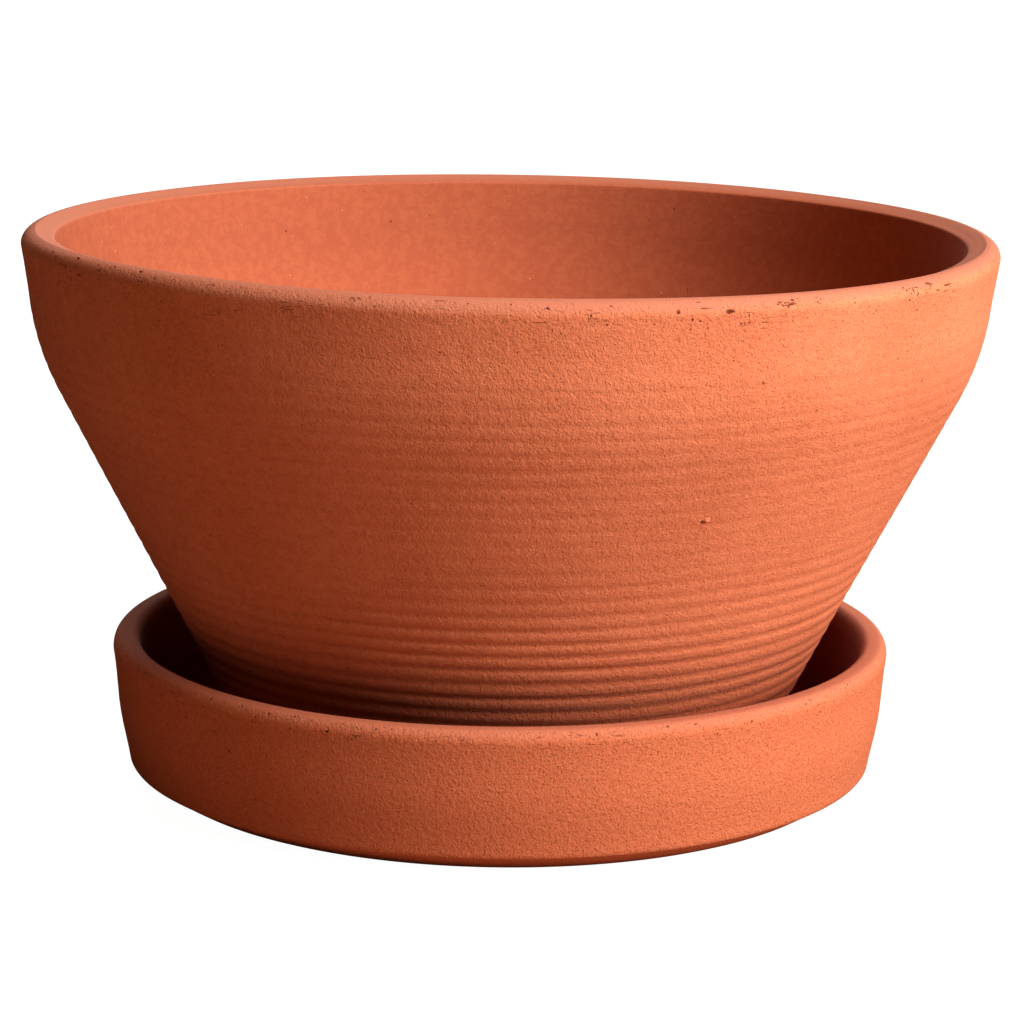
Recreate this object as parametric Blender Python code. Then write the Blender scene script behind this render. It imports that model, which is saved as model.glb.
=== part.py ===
"""Wide terracotta bowl pot standing loose in its terracotta saucer.

Two fired clay pieces, each turned on a wheel, so each is one outline spun about the upright axis.
Metres, +Z up. The origin is the centre of the saucer's underside, which is what stands on a shelf.
The pot lifts straight up out of the saucer.
"""

from math import atan2, cos, pi, radians, sin, tan

import bmesh
import bpy

# Both pieces
SEGMENTS = 64                    # facets round each turned piece
SEAT_GAP = 0.0003                # hair gap between the pot's foot and the saucer's floor
MERGE_DISTANCE = 1e-6            # points closer than this are one point
SHARP_ANGLE = radians(35)        # edges turning more than this stay crisp in the shading
ROUND_STEPS = 4                  # straight pieces that make up each rounded edge or corner
SHOULDER_STEPS = 5               # straight pieces that make up the pot's shoulder

# Saucer
SAUCER_RADIUS = 0.1013           # widest, at the rim
SAUCER_HEIGHT = 0.0374
SAUCER_WALL = 0.0070             # thickness of the rim, measured level
SAUCER_FLOOR = 0.0080            # thickness of the floor
SAUCER_FOOT_RADIUS = 0.0894      # flat underside
SAUCER_FOOT_BEVEL_RADIUS = 0.0972
SAUCER_FOOT_BEVEL_HEIGHT = 0.0048
SAUCER_FILLET = 0.0060           # between floor and wall, inside
SAUCER_LIP_WIDE = 0.0026         # each side of the rim is rounded by this much across ...
SAUCER_LIP_TALL = 0.0032         # ... and this much down

# Pot
POT_TOP = 0.1428
POT_RADIUS = 0.1250              # widest, just under the rim
POT_FOOT_RADIUS = 0.0675
POT_WALL = 0.0083                # thickness of the wall, square to it
POT_BASE = 0.0095                # thickness of the base
POT_FOOT_ROUND = 0.0020          # worn outer edge of the foot
POT_FILLET = 0.0120              # between base and wall, inside
CONE_TOP = 0.1040                # height where the straight wall starts to turn upright
CONE_TOP_RADIUS = 0.1164
SHOULDER_TOP = 0.1280            # height where the turn ends
SHOULDER_TOP_LEAN = radians(5)   # lean from upright of the band under the rim
RIM_OUTER_WIDE = 0.0044          # outer rounding of the rim, across and down ...
RIM_OUTER_TALL = 0.0036
RIM_OUTER_TURN = radians(78)     # ... and how much of a quarter turn it makes before the crest
RIM_CREST = 0.0007               # small round of the crest and of the rim's inner edge
RIM_FALL = radians(20)           # slope of the rim's face, down towards the inside
RIM_WIDTH = 0.0085               # from the widest point to the inner edge
DRAIN_RADIUS = 0.0120            # hole in the middle of the base
DRAIN_BEVEL = 0.0010

# Throwing rings, the spiral marks of the potter's fingers round the lower wall
RING_COUNT = 12
RING_LOWEST = 0.0280             # height of the lowest groove
RING_PITCH = 0.0040
RING_DEPTH = 0.0005

CLAY_RED = (0.58, 0.21, 0.09, 1.0)
CLAY_ORANGE = (0.62, 0.24, 0.10, 1.0)


def clear_scene():
    for old in list(bpy.data.objects):
        bpy.data.objects.remove(old, do_unlink=True)


def clay(name, colour):
    """A dull, dry fired clay."""
    material = bpy.data.materials.new(name)
    material.use_nodes = True
    shader = material.node_tree.nodes["Principled BSDF"]
    shader.inputs["Base Color"].default_value = colour
    shader.inputs["Roughness"].default_value = 0.9
    shader.inputs["Metallic"].default_value = 0.0
    return material


def arc(centre, wide, tall, start, end, steps=ROUND_STEPS):
    """Points of an upright elliptical arc, as (radius, height), from angle start to angle end."""
    angles = [start + (end - start) * i / steps for i in range(steps + 1)]
    return [(centre[0] + wide * cos(a), centre[1] + tall * sin(a)) for a in angles]


def fillet(corner_radius, floor, round_radius, lean):
    """Inside corner between a level floor and a wall that leans outwards by lean from upright.

    corner_radius is where the wall's line would meet the floor. Points run down the wall, inwards.
    """
    reach = round_radius * tan((pi / 2 - lean) / 2)
    centre = (corner_radius - reach, floor + round_radius)
    return arc(centre, round_radius, round_radius, -lean, -pi / 2)


def turned(name, outline, material):
    """Spin a closed outline, or one whose ends lie on the axis, into one solid."""
    on_axis = outline[0][0] == 0.0
    mesh = bmesh.new()
    points = [mesh.verts.new((radius, 0.0, height)) for radius, height in outline]
    edges = [mesh.edges.new(pair) for pair in zip(points, points[1:])]
    if not on_axis:
        edges.append(mesh.edges.new((points[-1], points[0])))
    bmesh.ops.spin(mesh, geom=points + edges, cent=(0, 0, 0), axis=(0, 0, 1),
                   angle=2 * pi, steps=SEGMENTS, use_merge=True, use_duplicate=False)
    bmesh.ops.remove_doubles(mesh, verts=mesh.verts, dist=MERGE_DISTANCE)
    bmesh.ops.recalc_face_normals(mesh, faces=mesh.faces)
    data = bpy.data.meshes.new(name)
    mesh.to_mesh(data)
    mesh.free()
    data.materials.append(material)
    data.shade_smooth()
    data.set_sharp_from_angle(angle=SHARP_ANGLE)
    piece = bpy.data.objects.new(name, data)
    bpy.context.scene.collection.objects.link(piece)
    return piece


def saucer_outline():
    """From the axis over the floor, up the inside, over the rim, down the outside, under the foot."""
    lip_base = SAUCER_HEIGHT - SAUCER_LIP_TALL
    rise = lip_base - SAUCER_FOOT_BEVEL_HEIGHT
    lean = atan2(SAUCER_RADIUS - SAUCER_FOOT_BEVEL_RADIUS, rise)
    inner_radius = SAUCER_RADIUS - SAUCER_WALL
    corner = inner_radius - (lip_base - SAUCER_FLOOR) * tan(lean)
    inside = fillet(corner, SAUCER_FLOOR, SAUCER_FILLET, lean)[::-1]
    inner_lip = arc((inner_radius + SAUCER_LIP_WIDE, lip_base), SAUCER_LIP_WIDE, SAUCER_LIP_TALL,
                    pi, pi / 2)
    outer_lip = arc((SAUCER_RADIUS - SAUCER_LIP_WIDE, lip_base), SAUCER_LIP_WIDE, SAUCER_LIP_TALL,
                    pi / 2, 0.0)
    foot = [(SAUCER_FOOT_BEVEL_RADIUS, SAUCER_FOOT_BEVEL_HEIGHT), (SAUCER_FOOT_RADIUS, 0.0), (0.0, 0.0)]
    return [(0.0, SAUCER_FLOOR)] + inside + inner_lip + outer_lip + foot


def cone_lean():
    """Lean from upright of the pot's straight wall."""
    return atan2(CONE_TOP_RADIUS - POT_FOOT_RADIUS, CONE_TOP - SAUCER_FLOOR - SEAT_GAP)


def shoulder(inset):
    """The turn from the straight wall to the band under the rim, inset by the wall's thickness."""
    lean = cone_lean()
    bend = (SHOULDER_TOP - CONE_TOP) / (sin(lean) - sin(SHOULDER_TOP_LEAN))
    centre = (CONE_TOP_RADIUS - bend * cos(lean), CONE_TOP + bend * sin(lean))
    radius = bend - inset
    return arc(centre, radius, radius, -lean, -SHOULDER_TOP_LEAN, SHOULDER_STEPS)


def throwing_rings():
    """Zigzag of grooves and ridges on the straight wall, from the lowest up."""
    slope = tan(cone_lean())
    points = []
    for i in range(RING_COUNT):
        for step, depth in ((0.0, RING_DEPTH), (0.5, 0.0)):
            height = RING_LOWEST + (i + step) * RING_PITCH
            wall = CONE_TOP_RADIUS - (CONE_TOP - height) * slope
            points.append((wall - depth, height))
    return points


def rim():
    """Outer round, a crest, and a face that falls inwards to the inner edge."""
    start = atan2(RIM_OUTER_WIDE * sin(RIM_OUTER_TURN), RIM_OUTER_TALL * cos(RIM_OUTER_TURN))
    crest_height = POT_TOP - RIM_CREST
    outer_height = crest_height + RIM_CREST * sin(start) - RIM_OUTER_TALL * sin(RIM_OUTER_TURN)
    outer = arc((POT_RADIUS - RIM_OUTER_WIDE, outer_height), RIM_OUTER_WIDE, RIM_OUTER_TALL,
                0.0, RIM_OUTER_TURN)
    crest_radius = outer[-1][0] - RIM_CREST * cos(start)
    face = pi / 2 + RIM_FALL
    crest = arc((crest_radius, crest_height), RIM_CREST, RIM_CREST, start, face, steps=2)
    edge_radius = POT_RADIUS - RIM_WIDTH + RIM_CREST
    edge_height = crest_height - (crest_radius - edge_radius) * tan(RIM_FALL)
    edge = arc((edge_radius, edge_height), RIM_CREST, RIM_CREST, face, pi, steps=2)
    return outer + crest[1:] + edge


def pot_outline():
    """From the drain hole under the foot, up the outside, over the rim, down the inside."""
    seat = SAUCER_FLOOR + SEAT_GAP
    floor = seat + POT_BASE
    lean = cone_lean()
    foot_centre = (POT_FOOT_RADIUS - POT_FOOT_ROUND * (1 - sin(lean)) / cos(lean), seat + POT_FOOT_ROUND)
    underside = [(DRAIN_RADIUS, seat + DRAIN_BEVEL), (DRAIN_RADIUS + DRAIN_BEVEL, seat)]
    foot = arc(foot_centre, POT_FOOT_ROUND, POT_FOOT_ROUND, -pi / 2, -lean)
    inner_shoulder = shoulder(POT_WALL)[::-1]
    low_radius, low_height = inner_shoulder[-1]
    corner = low_radius - (low_height - floor) * tan(lean)
    inside = fillet(corner, floor, POT_FILLET, lean)
    hole = [(DRAIN_RADIUS + DRAIN_BEVEL, floor), (DRAIN_RADIUS, floor - DRAIN_BEVEL)]
    return underside + foot + throwing_rings() + shoulder(0.0) + rim() + inner_shoulder + inside + hole


def build():
    clear_scene()
    turned("saucer", saucer_outline(), clay("saucer_clay", CLAY_ORANGE))
    turned("pot", pot_outline(), clay("pot_clay", CLAY_RED))


build()
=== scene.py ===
# %% [markdown]
# # A terracotta bowl pot in its saucer
#
# Two thrown and fired pieces of clay: a wide bowl with a drain hole, and the saucer that it stands in.
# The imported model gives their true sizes, and its two solids stay underneath as the fixed frame.
# This lesson throws both pieces again with the marks that a plain solid lacks: the rings left by the
# potter's fingers, the soft rim, small nicks, sand grain, pits and grog. Everything is in metres, +Z up.

# %% Load the fixed frame
import random
from math import atan2, cos, degrees, exp, pi, radians, sin, tan

import bmesh
import bpy
from mathutils import Matrix, Vector, kdtree, noise


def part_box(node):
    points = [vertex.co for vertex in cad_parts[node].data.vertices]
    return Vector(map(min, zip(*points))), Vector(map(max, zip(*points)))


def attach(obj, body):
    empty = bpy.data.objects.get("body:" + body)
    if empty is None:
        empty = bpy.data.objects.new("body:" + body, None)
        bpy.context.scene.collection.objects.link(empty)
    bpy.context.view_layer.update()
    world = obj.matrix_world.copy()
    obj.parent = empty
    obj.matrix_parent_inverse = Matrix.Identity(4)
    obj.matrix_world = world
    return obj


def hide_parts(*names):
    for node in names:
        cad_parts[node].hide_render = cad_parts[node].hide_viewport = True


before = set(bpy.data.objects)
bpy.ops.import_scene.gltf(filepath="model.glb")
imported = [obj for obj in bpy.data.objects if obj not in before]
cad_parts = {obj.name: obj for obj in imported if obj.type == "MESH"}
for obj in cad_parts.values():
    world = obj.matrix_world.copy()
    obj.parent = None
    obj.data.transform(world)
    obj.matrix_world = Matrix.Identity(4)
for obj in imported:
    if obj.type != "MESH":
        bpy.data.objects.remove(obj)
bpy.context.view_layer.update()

MM = 0.001
pot_low, pot_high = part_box("pot")
saucer_low, saucer_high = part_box("saucer")
print("pot mm", [round(v / MM, 1) for v in pot_high - pot_low],
      "stands", round(pot_low.z / MM, 2), "above the table")
print("saucer mm", [round(v / MM, 1) for v in saucer_high - saucer_low])

# %% [markdown]
# ## The camera
#
# A product picture of a bowl is taken from about a metre away with a long lens, from a little above the
# rim, so that the mouth shows as a thin ellipse and the saucer, further below the lens, as a rounder one.
# The camera is set by a place, a point that it looks at and a small roll, so each can be read at a glance.
# Blender's camera looks along its own -Z, so the roll is a turn about its own Z axis.

# %% Place the camera
CAMERA_PLACE = Vector((0.0, -0.9067, 0.2659))
CAMERA_TARGET = Vector((0.0026, 0.0, 0.0684))
CAMERA_ROLL = radians(0.76)
LENS = 124.7 * MM
SENSOR = 36.0 * MM

camera = bpy.data.objects.new("camera", bpy.data.cameras.new("camera"))
camera.data.lens = LENS / MM
camera.data.sensor_width = SENSOR / MM
look = (CAMERA_TARGET - CAMERA_PLACE).to_track_quat("-Z", "Y").to_matrix().to_4x4()
camera.matrix_world = Matrix.Translation(CAMERA_PLACE) @ look @ Matrix.Rotation(CAMERA_ROLL, 4, "Z")
bpy.context.scene.collection.objects.link(camera)
bpy.context.scene.camera = camera
print("lens", round(LENS / MM, 1), "mm, looking down", round(degrees(atan2(
    CAMERA_PLACE.z - CAMERA_TARGET.z, (CAMERA_TARGET - CAMERA_PLACE).xy.length)), 1), "degrees")

# %% [markdown]
# ## How a thrown piece is made here
#
# On the wheel, clay takes its shape from an outline that never changes while the piece turns. In Blender
# that is bmesh's spin: a wire of a few points and arcs is subdivided until it is fine enough to carry
# finger marks, and then spun once round the Z axis. Working from the outline keeps the wall's thickness,
# the rim and the foot right, which a sculpted lump would not.

# %% Helpers for outlines
STEPS_ROUND = 256
MERGE_DISTANCE = 1e-6             # points closer than this are one point


def arc(centre, wide, tall, start, end, steps):
    """Points (radius, height) of an upright elliptical arc."""
    turns = [start + (end - start) * i / steps for i in range(steps + 1)]
    return [(centre[0] + wide * cos(a), centre[1] + tall * sin(a)) for a in turns]


def fillet(corner_radius, floor, round_radius, lean, steps):
    """Inside corner between a level floor and a wall leaning outwards by lean; runs down the wall."""
    reach = round_radius * tan((pi / 2 - lean) / 2)
    return arc((corner_radius - reach, floor + round_radius), round_radius, round_radius,
               -lean, -pi / 2, steps)


def wire(outline):
    """A bmesh that holds the outline as a chain of edges in the XZ plane, closed if it is off the axis."""
    clay = bmesh.new()
    points = [clay.verts.new((radius, 0.0, height)) for radius, height in outline]
    chain = list(zip(points, points[1:]))
    if outline[0][0] > 0.0:
        chain.append((points[-1], points[0]))
    for pair in chain:
        clay.edges.new(pair)
    return clay


def refine(clay, spacing_at):
    """Subdivide each edge until none is longer than spacing_at(middle of the edge)."""
    for _ in range(7):
        long_edges = [e for e in clay.edges
                      if e.calc_length() > 1.5 * spacing_at((e.verts[0].co + e.verts[1].co) / 2)]
        if not long_edges:
            break
        bmesh.ops.subdivide_edges(clay, edges=long_edges, cuts=1)


def spin(clay):
    """Turn the wire once round the Z axis into a closed skin that faces outwards."""
    bmesh.ops.spin(clay, geom=clay.verts[:] + clay.edges[:], cent=(0, 0, 0), axis=(0, 0, 1),
                   angle=2 * pi, steps=STEPS_ROUND, use_merge=True, use_duplicate=False)
    bmesh.ops.remove_doubles(clay, verts=clay.verts[:], dist=MERGE_DISTANCE)
    bmesh.ops.recalc_face_normals(clay, faces=clay.faces[:])


print("a piece is spun in", STEPS_ROUND, "steps")

# %% [markdown]
# ## The bowl's outline
#
# The wall rises from a small foot as a straight cone, turns upright over a shoulder, and ends in a rim
# that was cut with a rib: rounded outside, a narrow crest, and a face that falls to an edge inside.
# The same shoulder arc with a smaller radius gives the inside, so the wall has one thickness up to the rim.

# %% Outline of the bowl
POT_FOOT_RADIUS = 67.5 * MM
POT_WALL = 8.3 * MM
POT_BASE = 9.5 * MM
POT_FOOT_ROUND = 2.0 * MM
POT_FILLET = 12.0 * MM
CONE_TOP = (116.4 * MM, 104.0 * MM)
SHOULDER_TOP = 128.0 * MM
SHOULDER_TOP_LEAN = radians(5)
RIM_OUTER = (4.4 * MM, 3.6 * MM)  # the outer round, wide and tall
RIM_OUTER_TURN = radians(78)      # how much of a quarter turn it makes before the crest
RIM_CREST = 0.7 * MM              # small round of the crest and of the inner edge
RIM_FALL = radians(20)            # slope of the rim's face towards the inside
RIM_WIDTH = 8.5 * MM
DRAIN_RADIUS = 12.0 * MM
DRAIN_EDGE = 1.0 * MM

pot_radius = pot_high.x
pot_top = pot_high.z
seat = pot_low.z
pot_floor = seat + POT_BASE
cone_lean = atan2(CONE_TOP[0] - POT_FOOT_RADIUS, CONE_TOP[1] - seat)


def shoulder(inset):
    """The turn from the cone to the upright band under the rim, inset by the wall's thickness."""
    bend = (SHOULDER_TOP - CONE_TOP[1]) / (sin(cone_lean) - sin(SHOULDER_TOP_LEAN))
    centre = (CONE_TOP[0] - bend * cos(cone_lean), CONE_TOP[1] + bend * sin(cone_lean))
    return arc(centre, bend - inset, bend - inset, -cone_lean, -SHOULDER_TOP_LEAN, steps=10)


def rim():
    """Outer round, narrow crest close to the outside, and a face that falls inwards to the inner edge."""
    start = atan2(RIM_OUTER[0] * sin(RIM_OUTER_TURN), RIM_OUTER[1] * cos(RIM_OUTER_TURN))
    crest_height = pot_top - RIM_CREST
    outer_height = crest_height + RIM_CREST * sin(start) - RIM_OUTER[1] * sin(RIM_OUTER_TURN)
    outer = arc((pot_radius - RIM_OUTER[0], outer_height), *RIM_OUTER, 0.0, RIM_OUTER_TURN, steps=8)
    crest_radius = outer[-1][0] - RIM_CREST * cos(start)
    face = pi / 2 + RIM_FALL
    crest = arc((crest_radius, crest_height), RIM_CREST, RIM_CREST, start, face, steps=5)
    edge_radius = pot_radius - RIM_WIDTH + RIM_CREST
    edge_height = crest_height - (crest_radius - edge_radius) * tan(RIM_FALL)
    edge = arc((edge_radius, edge_height), RIM_CREST, RIM_CREST, face, pi, steps=4)
    return outer + crest[1:] + edge


def pot_outline():
    """From the drain hole under the foot, up the outside, over the rim and down the inside."""
    foot_in = POT_FOOT_ROUND * (1 - sin(cone_lean)) / cos(cone_lean)
    foot = arc((POT_FOOT_RADIUS - foot_in, seat + POT_FOOT_ROUND), POT_FOOT_ROUND, POT_FOOT_ROUND,
               -pi / 2, -cone_lean, steps=6)
    inner_shoulder = shoulder(POT_WALL)[::-1]
    low_radius, low_height = inner_shoulder[-1]
    corner = low_radius - (low_height - pot_floor) * tan(cone_lean)
    hole_in_floor = arc((DRAIN_RADIUS + DRAIN_EDGE, pot_floor - DRAIN_EDGE), DRAIN_EDGE, DRAIN_EDGE,
                        pi / 2, pi, steps=4)
    hole_in_foot = arc((DRAIN_RADIUS + DRAIN_EDGE, seat + DRAIN_EDGE), DRAIN_EDGE, DRAIN_EDGE,
                       pi, 1.5 * pi, steps=4)
    return (hole_in_foot + foot + shoulder(0.0) + rim() + inner_shoulder
            + fillet(corner, pot_floor, POT_FILLET, cone_lean, steps=8) + hole_in_floor)


print("bowl outline", len(pot_outline()), "points, wall leans", round(degrees(cone_lean), 1), "degrees")

# %% [markdown]
# ## Throwing rings
#
# As the wheel turns, the fingers climb and leave one ridge a turn. The ridges are round and the valleys
# between them sharp, like a row of pipes, and they are deepest low on the wall where the clay is thick.
# Nobody's hand is even, so the pitch drifts, the rings wander up and down a little, and they fade towards
# +X. The wave is one less the size of a sine, raised to a power: a corner at the bottom of each groove and
# a broad round ridge between them. Noise does the rest. Moving the vertices makes them real relief, which
# a bump texture could not show at the silhouette.

# %% Relief of the throwing rings
RING_PITCH = 3.87 * MM
RING_PHASE = 36.6 * MM            # height of one of the grooves
RING_DEPTH = 0.68 * MM            # of the strong rings near the foot, on top of the faint ones
MIDDLE_RING_DEPTH = 0.17 * MM
FAINT_RING_DEPTH = 0.07 * MM
RING_DRIFT = 0.55 * MM            # how far the rings wander up and down
RING_POWER = 1.9                  # higher makes the grooves narrower
FADE_TO_RIGHT = 0.38              # share of the depth that is lost on the +X side


def smooth_step(low, high, value):
    """0 below low, 1 above high, smooth between."""
    share = min(1.0, max(0.0, (value - low) / (high - low)))
    return share * share * (3 - 2 * share)


def hump(value, centre, width):
    """1 at centre, falling to 0 about two widths away."""
    return exp(-((value - centre) / width) ** 2)


def ring_depth(height):
    """How deep the finger marks are at a height: strong low down, faint in the middle, none at the rim."""
    strong = RING_DEPTH * (1 - smooth_step(46 * MM, 84 * MM, height))
    middle = MIDDLE_RING_DEPTH * hump(height, 101 * MM, 16 * MM)
    faint = FAINT_RING_DEPTH * (1 - smooth_step(120 * MM, 134 * MM, height))
    return strong + middle + faint


def ring_wave(height, x, y, seed):
    """0 on a ridge and 1 in a groove, at a place given by height and the direction (x, y)."""
    drift = RING_DRIFT * noise.noise((0.9 * x + seed, 0.9 * y, height / (14 * MM)))
    turns = (height + drift - RING_PHASE) / RING_PITCH
    ridge = abs(sin(pi * turns))
    return (1 - ridge) ** RING_POWER


def unevenness(height, x, y, seed):
    """Share of a ring's depth that is left here: it fades towards +X, and wavers all round."""
    waver = 0.3 * noise.noise((1.3 * x, 1.3 * y + seed, height / (6 * MM)))
    return 1.0 - FADE_TO_RIGHT * smooth_step(0.0, 0.5, x) + waver


heights_shown = (30, 60, 100, 125)
print("ring depth mm at", heights_shown, [round(ring_depth(h * MM) / MM, 2) for h in heights_shown])

# %% Throw a piece: outline, spin, finger marks
def throw(outline, spacing_at, relief):
    """Spin an outline, then push its skin in by what relief(radius, height, x, y, facing) says.

    relief returns the push in metres, the groove as a share of RING_DEPTH, and the tooth: how sandy the
    skin is.
    Facing is 1 on an upright outer wall and -1 on an upright inner one. The groove's share and the tooth
    are kept as attributes of the mesh for the material to read, with an empty one for scars. The material
    paints shade into the grooves and scars by these.
    """
    clay = wire(outline)
    refine(clay, spacing_at)
    spin(clay)
    clay.normal_update()
    groove_layer = clay.verts.layers.float.new("groove")
    tooth_layer = clay.verts.layers.float.new("tooth")
    clay.verts.layers.float.new("scar")
    moves = []
    for v in clay.verts:
        radius = max(v.co.xy.length, 1e-9)
        x, y = v.co.x / radius, v.co.y / radius
        facing = v.normal.x * x + v.normal.y * y
        push, v[groove_layer], v[tooth_layer] = relief(radius, v.co.z, x, y, facing)
        moves.append((v, v.normal * -push))
    for v, move in moves:
        v.co += move
    return clay


def set_down(clay, lean, aside, foot_height):
    """Let the piece lean a little to +X, with its foot level, and stand a little aside of the middle."""
    shear = Matrix.Identity(4)
    shear[0][2] = tan(lean)
    shear[0][3] = aside - tan(lean) * foot_height
    bmesh.ops.transform(clay, matrix=shear, verts=clay.verts[:])


def warp_rim(clay, low, high):
    """Bend the rim's circle a little up and down, as clay settles while it dries; all lifts in mm.

    low and high are the heights between which the bend comes in. Angle 0 is the front.
    """
    for v in clay.verts:
        angle = degrees(atan2(v.co.x, -v.co.y))
        lift = 0.25 + 0.75 * cos(radians(angle)) + 0.9 * hump(angle, -52, 34)
        lift -= 0.85 * hump(angle, 50, 34) + 0.4 * hump(angle, 125, 30)
        v.co.z += lift * MM * smooth_step(low, high, v.co.z)


def finish_piece(name, clay, body, node):
    """Hand the thrown skin to Blender as a piece that stands for its CAD node and rides on its body."""
    bmesh.ops.recalc_face_normals(clay, faces=clay.faces[:])
    open_edges = sum(1 for e in clay.edges if not e.is_manifold)
    data = bpy.data.meshes.new(name)
    clay.to_mesh(data)
    clay.free()
    data.shade_smooth()
    piece = bpy.data.objects.new(name, data)
    bpy.context.scene.collection.objects.link(piece)
    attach(piece, body)
    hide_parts(node)
    triangles = sum(len(p.vertices) - 2 for p in data.polygons)
    print(name, len(data.vertices), "vertices,", triangles, "triangles,", open_edges, "open edges")
    return piece


# %% [markdown]
# ## Nicks and chips
#
# A rim knocks against other pots, and grit pulls out of it when the finger drags over it. Each nick is a
# small crater: the skin is subdivided only there, so the rest of the mesh stays light, and its vertices
# are pushed in with a ragged edge and a faint raised lip. Nicks that are wide and low are drag scars.
# The ones that catch the eye are listed one by one, and seeded ones finish the rest of the way round.

# %% One nick
NICK_GRID = 0.22 * MM             # edges inside a nick are split, up to five times, to be this short
EDGE_BEFORE = 3.2 * MM            # how far past a nick to look for edges that cross it
NICK_REACH = 1.6                  # how far a nick is felt, in half-widths


class Nick:
    """A crater of half-width wide and half-height tall on the outside; angle 0 is the front, in degrees."""

    def __init__(self, clay, angle, height, wide, tall, depth):
        a = radians(angle)
        out = Vector((sin(a), -cos(a), 0))
        self.side = Vector((cos(a), sin(a), 0))
        level = [v for v in clay.verts if abs(v.co.z - height) < 0.6 * MM
                 and abs(v.co.dot(self.side)) < 2 * MM and v.co.dot(out) > 0]
        outermost = max(level, key=lambda v: v.co.dot(out))
        self.middle = out * outermost.co.dot(out) + Vector((0, 0, height))
        self.facing = outermost.normal.copy()
        self.up = self.facing.cross(self.side).normalized()
        self.wide, self.tall, self.depth = wide, tall, depth
        self.reach = NICK_REACH * max(wide, tall)

    def spread(self, point):
        """Distance from the middle, in half-widths."""
        away = point - self.middle
        return ((away.dot(self.side) / self.wide) ** 2 + (away.dot(self.up) / self.tall) ** 2
                + (away.dot(self.facing) / self.wide) ** 2) ** 0.5

    def push(self, point):
        """How far the skin goes in at a point: a ragged crater with a faint raised lip."""
        ragged = 1 + 0.35 * noise.noise(point / (0.45 * MM)) + 0.25 * noise.noise(point / (1.1 * MM))
        q = self.spread(point) * ragged
        rough = 0.8 + 0.5 * noise.noise(point / (0.5 * MM))
        return self.depth * ((1 - smooth_step(0.35, 1.0, q)) * rough - 0.10 * hump(q, 1.15, 0.2))


# %% Press nicks into a skin
def vertex_tree(clay):
    """A search tree of the vertices; rebuilt after each split, because splitting renumbers them."""
    clay.verts.ensure_lookup_table()
    tree = kdtree.KDTree(len(clay.verts))
    for v in clay.verts:
        tree.insert(v.co, v.index)
    tree.balance()
    return tree


def press(clay, nicks):
    """Split the skin finely inside the nicks and push it in."""
    clay.verts.index_update()
    for _ in range(5):
        tree = vertex_tree(clay)
        long_edges = {}           # a dict keeps them in order, which a set of edges does not
        for nick in nicks:
            for _, index, _ in tree.find_range(nick.middle, nick.reach + EDGE_BEFORE):
                for e in clay.verts[index].link_edges:
                    ends = [v.co for v in e.verts]
                    nearest = min(map(nick.spread, (*ends, sum(ends, Vector()) / 2)))
                    if e.calc_length() > NICK_GRID and nearest < NICK_REACH:
                        long_edges[e] = True
        if not long_edges:
            break
        bmesh.ops.subdivide_edges(clay, edges=list(long_edges), cuts=1, use_grid_fill=True)
        clay.verts.index_update()
    clay.normal_update()
    tree = vertex_tree(clay)
    moves = {}
    for nick in nicks:
        for point, index, _ in tree.find_range(nick.middle, nick.reach):
            moves[index] = moves.get(index, 0.0) + nick.push(point)
    scar_layer = clay.verts.layers.float["scar"]
    steps = [(clay.verts[index], clay.verts[index].normal * -push, push) for index, push in moves.items()]
    for v, step, push in steps:
        v.co += step
        v[scar_layer] = smooth_step(0.0, 0.25 * MM, push)
    print(len(nicks), "nicks pressed,", len(moves), "vertices moved, skin now", len(clay.verts), "vertices")


def scatter(clay, dice, count, angles, heights, wides, talls, depths):
    """Seeded nicks inside the given ranges, each a (low, high) pair; lengths in mm."""
    ranges = (heights, wides, talls, depths)
    return [Nick(clay, dice.uniform(*angles), *(dice.uniform(*pair) * MM for pair in ranges))
            for _ in range(count)]


# %% [markdown]
# ## The bowl thrown
#
# Only the outer wall low down needs a fine skin, because only there are the rings deep. The inside keeps
# faint, wider rings. The bowl is set down last, a touch aside of the
# saucer's middle and leaning by a hair, as a loose pot stands. A nick with a negative depth stands out:
# one grain in the wall burst in the kiln, and left a raised scab with a hole in it.

# %% Spacing and relief of the bowl
INNER_RING_PITCH = 7 * MM


def pot_spacing(middle):
    """Finest on the lower wall, where the rings are; coarse inside and under the foot."""
    wall = min(CONE_TOP[0] - (CONE_TOP[1] - middle.z) * tan(cone_lean), pot_radius - 0.5 * MM)
    on_outer_wall = middle.x > wall - 4 * MM
    if middle.z > pot_top - 6 * MM:
        return 0.7 * MM
    if not on_outer_wall or middle.z < seat + 3 * MM:
        return 3.0 * MM
    return 0.42 * MM if middle.z < 84 * MM else 0.8 * MM


def pot_relief(radius, height, x, y, facing):
    """Finger rings outside, faint ones inside, and the slow swell of a hand-thrown wall."""
    swell = 0.22 * MM * noise.noise((1.1 * x + 7, 1.1 * y, height / (45 * MM)))
    tooth = 0.12 + 0.88 * smooth_step(0.1, 0.8, facing)
    if height > pot_top - 7 * MM:
        round_marks = 0.06 * MM * noise.noise((3 * x, 3 * y, radius / (1.2 * MM)))
        return swell * 0.6 + round_marks, 0.0, tooth
    if facing > 0.2 and height > seat + 4 * MM:
        groove = ring_wave(height, x, y, seed=3) * unevenness(height, x, y, seed=5)
        return swell + ring_depth(height) * groove, groove * ring_depth(height) / RING_DEPTH, tooth
    if facing < -0.2 and height > pot_floor + 10 * MM:
        drift = 1.5 * MM * noise.noise((x, y, height / (20 * MM)))
        soft = 0.5 + 0.5 * sin(2 * pi * (height + drift) / INNER_RING_PITCH)
        return swell + 0.05 * MM * soft, 0.0, tooth
    return 0.0, 0.0, tooth


pot_mesh = throw(pot_outline(), pot_spacing, pot_relief)
print("pot thrown,", len(pot_mesh.verts), "vertices")

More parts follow.
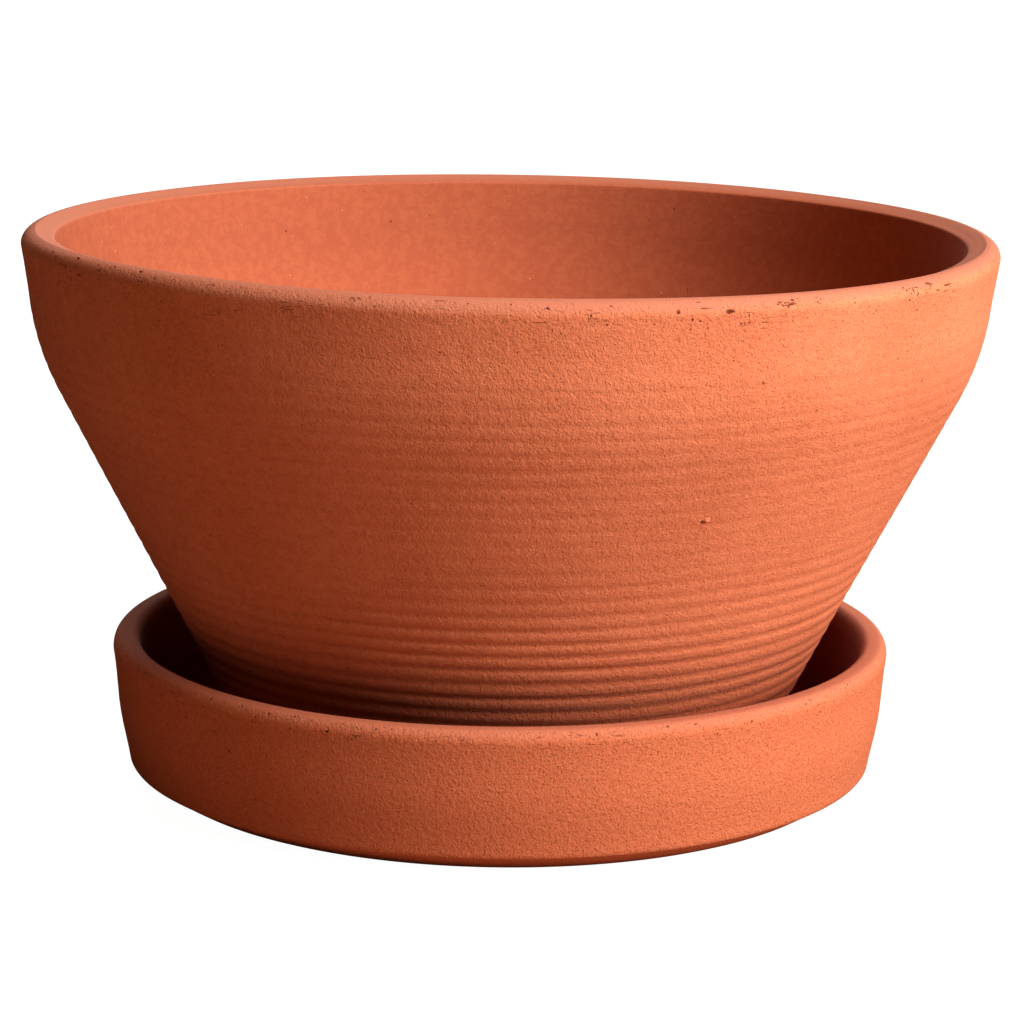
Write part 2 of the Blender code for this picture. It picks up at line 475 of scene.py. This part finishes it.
# %% Nicks in the bowl's rim, and one burst grain in its wall
# angle in degrees from the front to the right; then height, half-width, half-height and depth in mm,
# where a negative depth stands out
POT_NICKS = [
    (-64, 142.1, 0.7, 0.4, 0.35), (-57, 142.3, 1.3, 0.45, 0.55), (-55.5, 138.6, 1.2, 0.35, 0.25),
    (-49, 142.3, 0.6, 0.4, 0.35), (-44.5, 142.3, 1.0, 0.4, 0.35), (-15, 142.3, 0.6, 0.4, 0.35),
    (-7.5, 142.2, 2.0, 0.22, 0.22), (-5.9, 142.0, 0.6, 0.35, 0.35), (-4.5, 141.9, 0.5, 0.35, 0.35),
    (0.0, 141.6, 0.5, 0.3, 0.3), (2.4, 142.0, 0.5, 0.35, 0.3), (3.7, 141.2, 0.45, 0.45, 0.4),
    (2.9, 137.8, 2.4, 0.2, 0.18), (20.6, 140.8, 2.2, 0.2, 0.2), (19.9, 142.2, 1.0, 0.25, 0.25),
    (23.3, 139.8, 1.5, 0.65, 0.5), (25.3, 139.4, 1.5, 0.2, 0.2), (17.5, 140.1, 0.7, 0.8, 0.35),
    (29.8, 140.6, 0.45, 0.35, 0.3), (31.2, 141.8, 0.7, 0.4, 0.4), (34.5, 140.5, 0.35, 0.35, 0.25),
    (38.9, 141.8, 0.5, 0.35, 0.3), (39.5, 139.8, 0.35, 0.35, 0.3), (52, 141.0, 0.4, 0.35, 0.25),
    (60, 141.6, 0.4, 0.3, 0.25), (68, 138.9, 0.35, 0.3, 0.25), (74, 141.1, 0.4, 0.35, 0.25),
    (25.4, 88.1, 1.0, 0.9, -0.45), (24.8, 87.8, 0.4, 0.6, 0.6),
]
SEED = 12
dice = random.Random(SEED)
TOP = pot_top / MM
pot_nicks = [Nick(pot_mesh, angle, *(size * MM for size in sizes)) for angle, *sizes in POT_NICKS]
pot_nicks += scatter(pot_mesh, dice, 18, (85, 285), (TOP - 5, TOP - 1),
                     (0.4, 1.6), (0.25, 0.45), (0.2, 0.45))
press(pot_mesh, pot_nicks)

# %% Set the bowl down
POT_LEAN = radians(0.14)          # towards +X
POT_ASIDE = 1.1 * MM              # from the saucer's middle, to +X

set_down(pot_mesh, POT_LEAN, POT_ASIDE, seat)
warp_rim(pot_mesh, 100 * MM, pot_top - 5 * MM)
thrown_pot = finish_piece("thrown_pot", pot_mesh, "pot", "pot")

# %% [markdown]
# ## The saucer
#
# The saucer is thrown the same way: a level floor, a low wall that leans out, a round rim, and a foot
# that was trimmed with a knife, which leaves a narrow bevel in shadow under the wall. A point on each
# side of the bevel's upper edge keeps it crisp. The wall bulges a little at half its height.

# %% Outline of the saucer
SAUCER_WALL = 7.0 * MM
SAUCER_FLOOR = 8.0 * MM
SAUCER_FOOT_RADIUS = 89.4 * MM
SAUCER_BEVEL = (97.2 * MM, 4.8 * MM)
SAUCER_FILLET = 6.0 * MM
SAUCER_LIP = (2.6 * MM, 3.2 * MM)

saucer_radius = saucer_high.x
saucer_top = saucer_high.z


def saucer_outline():
    """From the axis over the floor, up the inside, over the rim, down the outside and under the foot."""
    lip_base = saucer_top - SAUCER_LIP[1]
    lean = atan2(saucer_radius - SAUCER_BEVEL[0], lip_base - SAUCER_BEVEL[1])
    inner_radius = saucer_radius - SAUCER_WALL
    corner = inner_radius - (lip_base - SAUCER_FLOOR) * tan(lean)
    inside = fillet(corner, SAUCER_FLOOR, SAUCER_FILLET, lean, steps=8)[::-1]
    inner_lip = arc((inner_radius + SAUCER_LIP[0], lip_base), *SAUCER_LIP, pi, pi / 2, steps=8)
    outer_lip = arc((saucer_radius - SAUCER_LIP[0], lip_base), *SAUCER_LIP, pi / 2, 0.0, steps=8)
    bevel = [(SAUCER_BEVEL[0] + 0.04 * MM, SAUCER_BEVEL[1] + 0.2 * MM),
             (SAUCER_BEVEL[0] - 0.2 * MM, SAUCER_BEVEL[1] - 0.15 * MM),
             (SAUCER_FOOT_RADIUS + 0.6 * MM, 0.4 * MM), (SAUCER_FOOT_RADIUS - 0.4 * MM, 0.0)]
    return [(0.0, SAUCER_FLOOR)] + inside + inner_lip + outer_lip + bevel + [(0.0, 0.0)]


print("saucer outline", len(saucer_outline()), "points")


# %% Throw the saucer
SAUCER_BELLY = 0.7 * MM


def saucer_spacing(middle):
    """Finest at the bevel's edge, fine on the outer wall and rim, coarse on the floor."""
    if middle.x > SAUCER_BEVEL[0] - 1 * MM and abs(middle.z - SAUCER_BEVEL[1]) < 0.6 * MM:
        return 0.2 * MM
    on_wall = middle.x > SAUCER_BEVEL[0] - 2 * MM or middle.z < SAUCER_BEVEL[1]
    return 0.7 * MM if middle.x > SAUCER_FOOT_RADIUS and on_wall else 3.0 * MM


def saucer_relief(radius, height, x, y, facing):
    """A full belly and a slow swell, faint turning marks on the wall and round marks on the rim."""
    swell = 0.2 * MM * noise.noise((1.2 * x + 21, 1.2 * y, height / (30 * MM)))
    tooth = 0.2 + 0.8 * smooth_step(0.1, 0.8, facing)
    if radius < 80 * MM or height < 1 * MM:
        return 0.0, 0.0, tooth
    marks = noise.noise((0.8 * x, 0.8 * y + 4, (height + 0.8 * radius) / (1.6 * MM)))
    belly = SAUCER_BELLY * hump(height, 18 * MM, 9 * MM) * smooth_step(0.2, 0.6, facing)
    return swell - belly + 0.035 * MM * marks, 0.0, tooth


saucer_mesh = throw(saucer_outline(), saucer_spacing, saucer_relief)
print("saucer thrown,", len(saucer_mesh.verts), "vertices")

# %% Nicks in the saucer
SAUCER_NICKS = [
    (-44.5, 36.6, 0.6, 0.4, 0.3), (-41, 24.5, 0.5, 0.35, 0.3), (-33.5, 36.4, 0.6, 0.4, 0.3),
    (-24, 34.4, 0.6, 0.4, 0.35), (23.5, 36.8, 0.6, 0.4, 0.35), (27.8, 36.6, 0.7, 0.4, 0.35),
    (37, 35.0, 0.5, 0.4, 0.3), (48, 36.0, 0.6, 0.4, 0.3), (8, 19.5, 0.4, 0.3, 0.25),
    (-50, 30.0, 0.9, 0.2, 0.2),
]
SAUCER_TOP = saucer_top / MM
saucer_nicks = [Nick(saucer_mesh, angle, *(size * MM for size in sizes)) for angle, *sizes in SAUCER_NICKS]
saucer_nicks += scatter(saucer_mesh, dice, 14, (75, 285), (SAUCER_TOP - 12, SAUCER_TOP - 1),
                        (0.4, 1.2), (0.25, 0.4), (0.2, 0.35))
press(saucer_mesh, saucer_nicks)
thrown_saucer = finish_piece("thrown_saucer", saucer_mesh, "saucer", "saucer")

# %% [markdown]
# ## Dry clay, from small effects
#
# Fired terracotta is never one colour. Sand and grog (crushed fired clay) roughen it, gas and drag leave
# pits, the wheel leaves fine level lines, and the kiln leaves soft clouds of tone. Both pieces share
# these effects, so each is a node group built once, with its sizes in metres as named inputs. Every group
# reads the Object coordinates of the piece, so the pattern is fixed in the clay and moves with it.

# %% Node helpers
def feed(tree, socket, source):
    """Link a socket to a source socket, or set it to a plain value."""
    if isinstance(source, bpy.types.NodeSocket):
        tree.links.new(source, socket)
    else:
        socket.default_value = source


def math(tree, operation, *sources):
    """One Math node; the sources are sockets or numbers."""
    node = tree.nodes.new("ShaderNodeMath")
    node.operation = operation
    for socket, source in zip(node.inputs, sources):
        feed(tree, socket, source)
    return node.outputs[0]


def remap(tree, value, low, high, to_low=0.0, to_high=1.0):
    """Smooth step from to_low at low to to_high at high."""
    node = tree.nodes.new("ShaderNodeMapRange")
    node.interpolation_type = "SMOOTHSTEP"
    for name, source in (("Value", value), ("From Min", low), ("From Max", high),
                         ("To Min", to_low), ("To Max", to_high)):
        feed(tree, node.inputs[name], source)
    return node.outputs["Result"]


def product(tree, *factors):
    """All the factors multiplied together."""
    result = factors[0]
    for factor in factors[1:]:
        result = math(tree, "MULTIPLY", result, factor)
    return result


def mix_colour(tree, share, first, second):
    """Mix two colours by a share from 0 to 1."""
    node = tree.nodes.new("ShaderNodeMix")
    node.data_type = "RGBA"
    feed(tree, node.inputs["Factor"], share)
    feed(tree, node.inputs["A"], first)
    feed(tree, node.inputs["B"], second)
    return node.outputs["Result"]


def split(tree, vector):
    """The three numbers of a vector."""
    node = tree.nodes.new("ShaderNodeSeparateXYZ")
    feed(tree, node.inputs[0], vector)
    return node.outputs


def join(tree, x, y, z):
    """A vector of three numbers."""
    node = tree.nodes.new("ShaderNodeCombineXYZ")
    for socket, source in zip(node.inputs, (x, y, z)):
        feed(tree, socket, source)
    return node.outputs[0]


def noise_value(tree, vector, scale, detail=2.0, roughness=0.5):
    """Fractal noise from 0 to 1, as a plain value."""
    node = tree.nodes.new("ShaderNodeTexNoise")
    feed(tree, node.inputs["Vector"], vector)
    feed(tree, node.inputs["Scale"], scale)
    node.inputs["Detail"].default_value = detail
    node.inputs["Roughness"].default_value = roughness
    return node.outputs["Fac"]


def effect(name, inputs, outputs):
    """A new node group with named sockets; returns its tree and its two ends."""
    tree = bpy.data.node_groups.new(name, "ShaderNodeTree")
    tree.interface.new_socket("Position", in_out="INPUT", socket_type="NodeSocketVector")
    for label, default in inputs.items():
        socket = tree.interface.new_socket(label, in_out="INPUT", socket_type="NodeSocketFloat")
        socket.default_value = default
    for label in outputs:
        tree.interface.new_socket(label, in_out="OUTPUT", socket_type="NodeSocketFloat")
    return tree, tree.nodes.new("NodeGroupInput").outputs, tree.nodes.new("NodeGroupOutput").inputs


def use(tree, group, position, **values):
    """Place a node group in a material; a value's name is its input's, with _ for a space."""
    node = tree.nodes.new("ShaderNodeGroup")
    node.node_tree = group
    feed(tree, node.inputs["Position"], position)
    for label, value in values.items():
        feed(tree, node.inputs[label.replace("_", " ")], value)
    return node.outputs if len(node.outputs) > 1 else node.outputs[0]


print("node helpers ready")

# %% [markdown]
# ### Sand, spots, turning lines
#
# *Sand*: noises at the size of a grain, finer and coarser, give a rough tooth, and the lowest places of
# the grain-sized one are kept as dots, the holes between the grains, which the clay paints dark as painted
# shade.
# *Spots*: Voronoi cells of one spacing, of which only a share holds a spot, stand for both pits and grog.
# *Turning lines*: noise that changes fast along the outline (height and radius together) and slowly round
# the piece gives level lines that fade and return, and a coarser setting of it gives drag marks.

# %% Effect: sand
sand, into, out = effect("sandy_grain", {"Grain Size": 0.5 * MM}, ["Height", "Tone", "Dots"])
grains = math(sand, "DIVIDE", 1.0, into["Grain Size"])
coarse = noise_value(sand, into["Position"], grains, detail=1.0)
fine = noise_value(sand, into["Position"], product(sand, grains, 2.3), detail=1.0)
grit = noise_value(sand, into["Position"], product(sand, grains, 0.4), detail=1.0)
dots = remap(sand, coarse, 0.36, 0.26)
surface = math(sand, "ADD", product(sand, coarse, 0.60), product(sand, fine, 0.40))
surface = math(sand, "ADD", surface, product(sand, grit, 0.75))
feed(sand, out["Height"], math(sand, "SUBTRACT", surface, product(sand, dots, 0.25)))
feed(sand, out["Tone"], remap(sand, coarse, 0.30, 0.70))
# Dots marks the holes between the grains, where the clay paints shade
feed(sand, out["Dots"], dots)
print("sand", len(sand.nodes), "nodes")

# %% Effect: scattered spots
# Radius is in cells, Share is the part of the cells that hold a spot, and Edge is how soft a spot is
spots, into, out = effect("scattered_spots", {"Spacing": 4 * MM, "Radius": 0.12, "Share": 0.3, "Edge": 0.5},
                          ["Mask"])
cells = spots.nodes.new("ShaderNodeTexVoronoi")
feed(spots, cells.inputs["Vector"], into["Position"])
feed(spots, cells.inputs["Scale"], math(spots, "DIVIDE", 1.0, into["Spacing"]))
cells.inputs["Randomness"].default_value = 0.9
chances = split(spots, cells.outputs["Color"])
chosen = math(spots, "LESS_THAN", chances[0], into["Share"])
reach = product(spots, into["Radius"], math(spots, "ADD", 0.4, product(spots, chances[1], 0.9)))
inner = product(spots, reach, math(spots, "SUBTRACT", 1.0, into["Edge"]))
spot = remap(spots, cells.outputs["Distance"], reach, inner)
feed(spots, out["Mask"], product(spots, chosen, spot))
print("spots", len(spots.nodes), "nodes")

# %% Effect: turning lines
lines, into, out = effect("turning_lines", {"Spacing": 1 * MM, "Round": 1.2}, ["Value"])
place = split(lines, into["Position"])
radius_of = math(lines, "SQRT", math(lines, "ADD", product(lines, place[0], place[0]),
                                     product(lines, place[1], place[1])))
along = math(lines, "ADD", place[2], product(lines, radius_of, 0.8))
turn_x = product(lines, math(lines, "DIVIDE", place[0], radius_of), into["Round"])
turn_y = product(lines, math(lines, "DIVIDE", place[1], radius_of), into["Round"])
level = join(lines, turn_x, turn_y, math(lines, "DIVIDE", along, into["Spacing"]))
feed(lines, out["Value"], noise_value(lines, level, 1.0, detail=2.0, roughness=0.6))
print("effects", [group.name for group in bpy.data.node_groups])

# %% [markdown]
# ### The clay itself
#
# One function mixes the effects for both pieces, because both come from one bag of clay: what differs is
# where each rim is, how strongly it is marked, how dark the clay is, and where painted shade falls. The top
# of the rim is duller and pinker, where a wet sponge drew the finest clay to the surface, and drag marks
# and small bites are torn out of the band below it. A nick shows dark through the scar attribute, as
# painted shade in its hollow, and so do the pits, the drag marks, the bites and the holes between the
# grains. The grooves of the rings are painted darker as well, as painted shade. The inside is smoother and
# darker than the sandy outside, which the tooth attribute tells apart. The saucer's darker tone is partly
# its own colour and partly painted shade. The bowl's outside, from a little above the saucer's rim down to
# its foot, and the inside of the saucer are painted darker and redder, as painted shade where the two
# pieces close in on each other. All relief is added up in metres and given to one Bump node, so a grain
# stays a grain at any distance.

# %% Clay material
CLAY_BODY = (0.440, 0.163, 0.085, 1)
CLAY_DARK = (0.340, 0.100, 0.043, 1)
CLAY_LIGHT = (0.545, 0.215, 0.122, 1)
CLAY_SMOOTH = (0.310, 0.088, 0.045, 1)
# painted shade: darker, redder clay low on the bowl's outside and on the saucer's inside
CLAY_PAINTED_SHADE = (0.260, 0.034, 0.009, 1)
RIM_BLOOM = (0.360, 0.145, 0.093, 1)
GROG_PALE = (0.680, 0.400, 0.230, 1)
# painted shade in the holes between grains, pits, nicks, drag marks and bites
PIT_PAINTED_SHADE = (0.080, 0.016, 0.006, 1)
CLAY_SPECULAR = 0.12              # unglazed clay hardly shines


def attribute(tree, name):
    """A float that the mesh carries on its vertices."""
    node = tree.nodes.new("ShaderNodeAttribute")
    node.attribute_name = name
    return node.outputs["Fac"]


def rim_marks(tree, position, outside, height, rim_height, rim_band, rim_wear):
    """Masks of the drag marks and of the small bites, both in the band below the top of the rim."""
    rim = remap(tree, height, rim_height - rim_band, rim_height - 0.4 * rim_band)
    patches = remap(tree, noise_value(tree, position, 1 / (14 * MM), detail=1.0), 0.47, 0.60)
    drags = use(tree, lines, position, Spacing=0.38 * MM, Round=28.0)
    drag = product(tree, remap(tree, drags, 0.61, 0.70), product(
        tree, product(tree, rim, outside), product(tree, patches, rim_wear)))
    pecked = remap(tree, noise_value(tree, position, 1 / (7 * MM), detail=2.0), 0.53, 0.62)
    bites = use(tree, spots, position, Spacing=0.95 * MM, Radius=0.33, Share=0.50, Edge=0.4)
    return drag, product(tree, bites, product(tree, rim, outside, pecked))


def clay_material(name, rim_height, rim_band, rim_wear, deeper_tone_and_shade, shade_from, shade_inside):
    """The clay of one piece.

    rim_band is the height of the worn band and rim_wear how worn it is; deeper_tone_and_shade is how far
    the clay goes to the dark tone, partly its own deeper colour and partly painted shade. The outside gets
    painted shade, darker and redder, from shade_from down to the seat, where shade_from equal to the seat
    means not at all, and shade_inside is how strong the painted shade on the inside is.
    """
    material = bpy.data.materials.new(name)
    material.use_nodes = True
    tree = material.node_tree
    shader = tree.nodes["Principled BSDF"]
    position = tree.nodes.new("ShaderNodeTexCoord").outputs["Object"]
    height = split(tree, position)[2]
    tooth, groove, scar = (attribute(tree, layer) for layer in ("tooth", "groove", "scar"))
    outside = remap(tree, tooth, 0.75, 0.95)
    inside = remap(tree, tooth, 0.55, 0.30)

    clouds = noise_value(tree, position, 1 / (34 * MM), detail=3.0, roughness=0.6)
    mottle = noise_value(tree, position, 1 / (2.6 * MM), detail=3.0, roughness=0.7)
    grain = use(tree, sand, position, Grain_Size=0.50 * MM)
    grog = use(tree, spots, position, Spacing=3.4 * MM, Radius=0.065, Share=0.30, Edge=0.5)
    pits = use(tree, spots, position, Spacing=3.7 * MM, Radius=0.075, Share=0.14, Edge=0.4)
    fine_lines = use(tree, lines, position, Spacing=0.9 * MM, Round=1.5)
    drag, bites = rim_marks(tree, position, outside, height, rim_height, rim_band, rim_wear)
    bloom = remap(tree, height, rim_height - 2.8 * MM, rim_height - 1.0 * MM)

    # painted shade: darker, redder clay low on the bowl's outside and inside the saucer, where the pieces
    # close in
    below_lip = remap(tree, height, rim_height - 2.5 * MM, rim_height - 6.0 * MM)
    shade_near_foot = product(tree, remap(tree, height, shade_from, seat, 0.0, 0.95), outside)
    painted_shade = math(tree, "MAXIMUM", shade_near_foot, product(tree, inside, below_lip, shade_inside))
    painted_shade = product(tree, painted_shade, math(tree, "ADD", 0.75, product(tree, clouds, 0.5)))

    smooth = mix_colour(tree, remap(tree, mottle, 0.42, 0.62, 0.0, 0.22), CLAY_SMOOTH, CLAY_BODY)
    marks = math(tree, "MAXIMUM", math(tree, "MAXIMUM", drag, scar), bites)
    colour = mix_colour(tree, remap(tree, clouds, 0.30, 0.70), CLAY_DARK, CLAY_LIGHT)
    for share, tone in (
            (0.78, CLAY_BODY),
            # the saucer's darker tone: partly its own colour, partly painted shade
            (deeper_tone_and_shade, CLAY_DARK),
            (inside, smooth),
            (product(tree, remap(tree, mottle, 0.40, 0.62), 0.28), CLAY_DARK),
            (product(tree, grain["Tone"], product(tree, tooth, 0.36)), CLAY_LIGHT),
            (product(tree, fine_lines, 0.14), CLAY_DARK),
            # painted shade in the grooves of the rings
            (product(tree, groove, 0.30), CLAY_DARK),
            (product(tree, bloom, product(tree, rim_wear, 0.75)), RIM_BLOOM),
            (product(tree, grog, 0.6), GROG_PALE),
            # painted shade low on the bowl and inside the saucer
            (painted_shade, CLAY_PAINTED_SHADE),
            # painted shade in the holes between grains, the pits, the nicks, the drag marks and the bites
            (product(tree, grain["Dots"], product(tree, tooth, 0.20)), PIT_PAINTED_SHADE),
            (product(tree, pits, 0.6), PIT_PAINTED_SHADE),
            (product(tree, marks, 0.85), PIT_PAINTED_SHADE)):
        colour = mix_colour(tree, share, colour, tone)
    feed(tree, shader.inputs["Base Color"], colour)

    relief = product(tree, grain["Height"], product(tree, tooth, 0.25 * MM))
    for mask, rise in ((fine_lines, 0.03), (grog, 0.08), (pits, -0.2), (drag, -0.14), (bites, -0.16)):
        relief = math(tree, "ADD", relief, product(tree, mask, rise * MM))
    bump = tree.nodes.new("ShaderNodeBump")
    bump.inputs["Strength"].default_value = 1.0
    bump.inputs["Distance"].default_value = 1.0
    feed(tree, bump.inputs["Height"], relief)
    feed(tree, shader.inputs["Normal"], bump.outputs["Normal"])
    feed(tree, shader.inputs["Roughness"], remap(tree, mottle, 0.2, 0.8, 0.82, 0.95))
    shader.inputs["Specular IOR Level"].default_value = CLAY_SPECULAR
    return material


# the bowl gets painted shade low on its outside, the saucer on its inside
thrown_pot.data.materials.append(clay_material(
    "pot_clay", pot_top, rim_band=10 * MM, rim_wear=1.0, deeper_tone_and_shade=0.0, shade_from=62 * MM, shade_inside=0.0))
# the saucer's darker tone is partly its own colour and partly painted shade
thrown_saucer.data.materials.append(clay_material(
    "saucer_clay", saucer_top, rim_band=7 * MM, rim_wear=0.6, deeper_tone_and_shade=0.8, shade_from=seat, shade_inside=0.95))
print("materials", [m.name for m in (*thrown_pot.data.materials, *thrown_saucer.data.materials)])

# %% [markdown]
# ## Floor and light
#
# The floor is one flat sheet a hair below the saucer, and it is not a plain piece of paper. To the lens it
# glows an even white, so that no shadow shows on it. To the light it is a warm brown, so that little light
# comes up from it and what does is the colour of clay. A real white floor would light the underside far
# more. The world is treated in the same way: nearly white to the lens, nearly dark to the light.
#
# A large softbox on the right, a third of the way up, rakes across the rings and leaves the left of the
# bowl in shade. A softer one behind lights the far rim and the inside. Two weak warm lights, above and in
# front, stand in for light that other clay and the room have thrown back. Gamma a little below 1 deepens
# the middle tones.

# %% Floor
FLOOR_SIZE = 24.0

stage = bmesh.new()
bmesh.ops.create_grid(stage, x_segments=1, y_segments=1, size=FLOOR_SIZE / 2)
bmesh.ops.translate(stage, verts=stage.verts[:], vec=(0, 0, -0.2 * MM))
floor_data = bpy.data.meshes.new("floor")
stage.to_mesh(floor_data)
stage.free()
floor = bpy.data.objects.new("floor", floor_data)
bpy.context.scene.collection.objects.link(floor)

paper = bpy.data.materials.new("pale_paper")
paper.use_nodes = True
paper_shader = paper.node_tree.nodes["Principled BSDF"]
PAPER_FOR_LENS = (0.06, 0.06, 0.06, 1)
PAPER_FOR_LIGHT = (0.44, 0.24, 0.15, 1)
PAPER_GLOW = 0.985                # seen by the lens only
seen = paper.node_tree.nodes.new("ShaderNodeLightPath").outputs["Is Camera Ray"]
feed(paper.node_tree, paper_shader.inputs["Base Color"],
     mix_colour(paper.node_tree, seen, PAPER_FOR_LIGHT, PAPER_FOR_LENS))
paper_shader.inputs["Roughness"].default_value = 0.95
paper_shader.inputs["Emission Color"].default_value = (1, 1, 1, 1)
feed(paper.node_tree, paper_shader.inputs["Emission Strength"], product(paper.node_tree, seen, PAPER_GLOW))
floor_data.materials.append(paper)
print("floor", FLOOR_SIZE, "m wide")

# %% World and tone
WORLD_FOR_LIGHT = 0.03
WORLD_FOR_LENS = 0.97
GAMMA = 0.85

world = bpy.data.worlds.new("studio")
world.use_nodes = True
bpy.context.scene.world = world
background = world.node_tree.nodes["Background"]
background.inputs["Color"].default_value = (1, 1, 1, 1)
seen = world.node_tree.nodes.new("ShaderNodeLightPath").outputs["Is Camera Ray"]
feed(world.node_tree, background.inputs["Strength"],
     remap(world.node_tree, seen, 0.0, 1.0, WORLD_FOR_LIGHT, WORLD_FOR_LENS))
bpy.context.scene.view_settings.view_transform = "Standard"
bpy.context.scene.view_settings.gamma = GAMMA
print("world", WORLD_FOR_LIGHT, "to the light, gamma", GAMMA)

# %% Lights
WARM = (1.0, 0.52, 0.20)


def softbox(name, azimuth, elevation, wide, tall, power, distance=1.6, colour=(1, 1, 1)):
    """An area light that looks at the bowl; azimuth 0 is the camera's side, positive to the right."""
    a, e = radians(azimuth), radians(elevation)
    aim = Vector((0, 0, 80 * MM))
    place = aim + distance * Vector((sin(a) * cos(e), -cos(a) * cos(e), sin(e)))
    data = bpy.data.lights.new(name, "AREA")
    data.shape = "RECTANGLE"
    data.size = wide
    data.size_y = tall
    data.energy = power
    data.color = colour
    lamp = bpy.data.objects.new(name, data)
    towards = (aim - place).to_track_quat("-Z", "Y").to_matrix().to_4x4()
    lamp.matrix_world = Matrix.Translation(place) @ towards
    bpy.context.scene.collection.objects.link(lamp)
    print(name, power, "W at", azimuth, elevation, "degrees")


softbox("key_softbox", azimuth=58, elevation=33, wide=0.9, tall=1.3, power=76)
softbox("back_softbox", azimuth=-172, elevation=22, wide=1.2, tall=1.2, power=32, distance=2.8)
softbox("top_softbox", azimuth=-35, elevation=66, wide=0.8, tall=0.8, power=8, colour=WARM)
softbox("front_fill", azimuth=0, elevation=20, wide=0.8, tall=0.8, power=2.2, colour=WARM)
